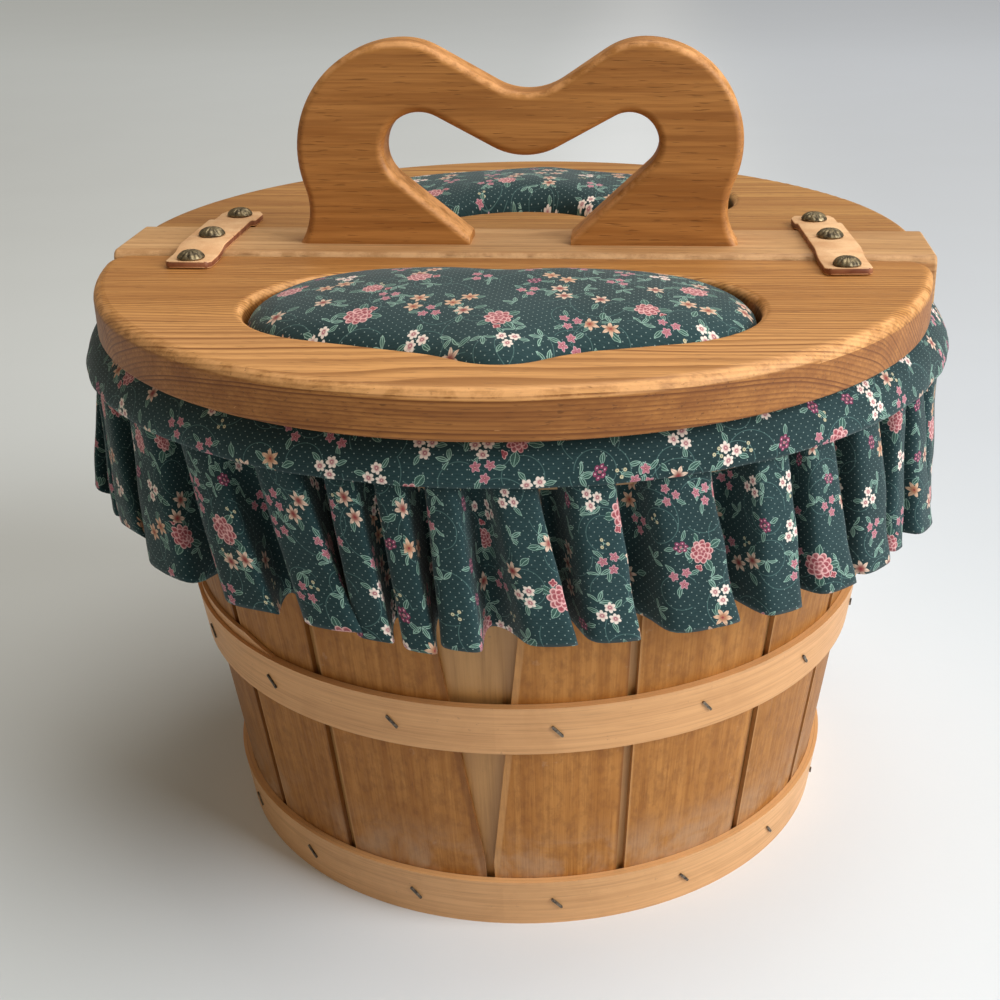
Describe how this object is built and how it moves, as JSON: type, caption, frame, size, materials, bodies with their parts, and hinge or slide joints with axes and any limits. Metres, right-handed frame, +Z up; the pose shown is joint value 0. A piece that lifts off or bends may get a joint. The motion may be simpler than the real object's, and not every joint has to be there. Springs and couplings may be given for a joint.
{
  "type": "wooden slat sewing basket",
  "caption": "Round tapered veneer basket with a ruffled fabric rim, a heart-shaped wooden handle on a cross bar and two hinged half-round lids with pincushion pads.",
  "frame": {"origin": "centre of the basket's foot on the floor", "axes": "+X along the cross bar to the right, +Y to the back lid, +Z up"},
  "size_m": [0.3822, 0.3864, 0.3513],
  "materials": {
    "stave_veneer": "thin oiled veneer, warm honey brown, satin",
    "inner_veneer": "thin veneer, golden, satin",
    "hoop_wood": "bent wood strip, pale honey, satin",
    "oiled_wood": "oiled board with rounded worn edges, honey brown, satin",
    "board_wood": "plain sanded board",
    "strap_leather": "light tan veg-tanned leather, red-brown cut edges",
    "floral_fabric": "dark green cotton with a small floral print",
    "lining_fabric": "dark green cotton with a small floral print",
    "antique_brass": "antique brass, darkened",
    "staple_wire": "dull steel wire",
    "screw_steel": "zinc plated steel"
  },
  "bodies": {
    "basket": {"bar_block_left": "board_wood", "bar_block_right": "board_wood", "bar_block_screws": "screw_steel", "bar_strap_nails": "antique_brass", "bottom_board": "board_wood", "bottom_hoop_first_turn": "hoop_wood", "bottom_hoop_second_turn": "hoop_wood", "bottom_hoop_staples": "staple_wire", "cross_bar": "oiled_wood", "handle": "oiled_wood", "handle_screws": "screw_steel", "inner_staves": "inner_veneer", "left_strap": "strap_leather", "lining_floor": "lining_fabric", "lining_wall": "lining_fabric", "middle_hoop_first_turn": "hoop_wood", "middle_hoop_second_turn": "hoop_wood", "middle_hoop_staples": "staple_wire", "outer_stave_01": "stave_veneer", "outer_stave_02": "stave_veneer", "outer_stave_03": "stave_veneer", "outer_stave_04": "stave_veneer", "outer_stave_05": "stave_veneer", "outer_stave_06": "stave_veneer", "outer_stave_07": "stave_veneer", "outer_stave_08": "stave_veneer", "outer_stave_09": "stave_veneer", "outer_stave_10": "stave_veneer", "outer_stave_11": "stave_veneer", "outer_stave_12": "stave_veneer", "outer_stave_13": "stave_veneer", "outer_stave_14": "stave_veneer", "outer_stave_15": "stave_veneer", "outer_stave_16": "stave_veneer", "right_strap": "strap_leather", "rim_band": "floral_fabric", "rim_hoop_inner": "hoop_wood", "rim_hoop_outer": "hoop_wood", "ruffle": "floral_fabric"},
    "front_lid": {"front_lid": "oiled_wood", "front_pad_board": "board_wood", "front_pad": "floral_fabric", "front_strap_nails": "antique_brass"},
    "back_lid": {"back_lid": "oiled_wood", "back_pad_board": "board_wood", "back_pad": "floral_fabric", "back_strap_nails": "antique_brass"}
  },
  "joints": [
    {"name": "front_lid_hinge", "type": "hinge", "parent": "basket", "child": "front_lid", "pos_m": [0, -0.0245, 0.264], "axis": [-1, 0, 0], "range_deg": [0, 92], "deforming": ["left_strap", "right_strap"]},
    {"name": "back_lid_hinge", "type": "hinge", "parent": "basket", "child": "back_lid", "pos_m": [0, 0.0245, 0.264], "axis": [1, 0, 0], "range_deg": [0, 92], "deforming": ["left_strap", "right_strap"]}
  ]
}
